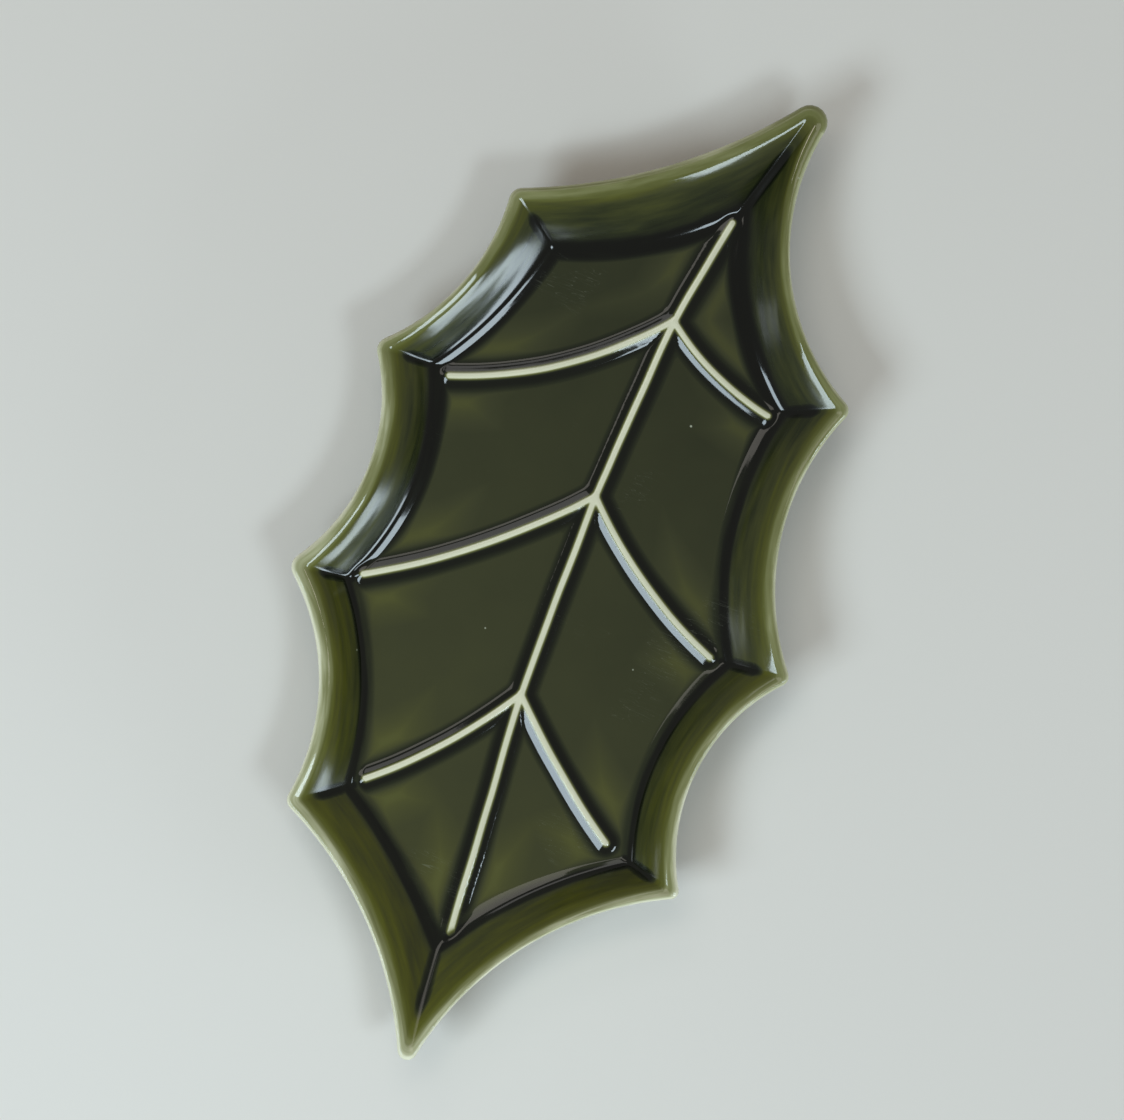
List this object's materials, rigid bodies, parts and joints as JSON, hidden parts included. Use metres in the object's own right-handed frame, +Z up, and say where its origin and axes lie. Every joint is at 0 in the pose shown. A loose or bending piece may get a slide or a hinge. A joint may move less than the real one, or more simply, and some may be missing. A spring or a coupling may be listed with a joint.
{
  "type": "leaf-shaped ceramic dish",
  "caption": "Shallow glazed pottery dish shaped like a holly leaf, with a flat floor crossed by raised veins, sloping walls and a foot ring, for rings and other small things.",
  "frame": {"origin": "centre of the leaf's length and width, on the plane that the foot ring rests on", "axes": "+Y along the leaf to its blunt tip, +X to the right seen from above with the blunt tip up, +Z up out of the dish"},
  "size_m": [0.1226, 0.25, 0.0156],
  "materials": {
    "bisque_body": "matt fired clay, ground smooth on the foot ring",
    "glaze_coat": "glossy dark olive glaze, breaking to cream on the veins and the lip",
    "base_glaze": "glossy olive glaze, thinly brushed"
  },
  "bodies": {
    "root": {"bisque_body": "bisque_body", "glaze_coat": "glaze_coat", "base_glaze": "base_glaze"}
  },
  "joints": []
}
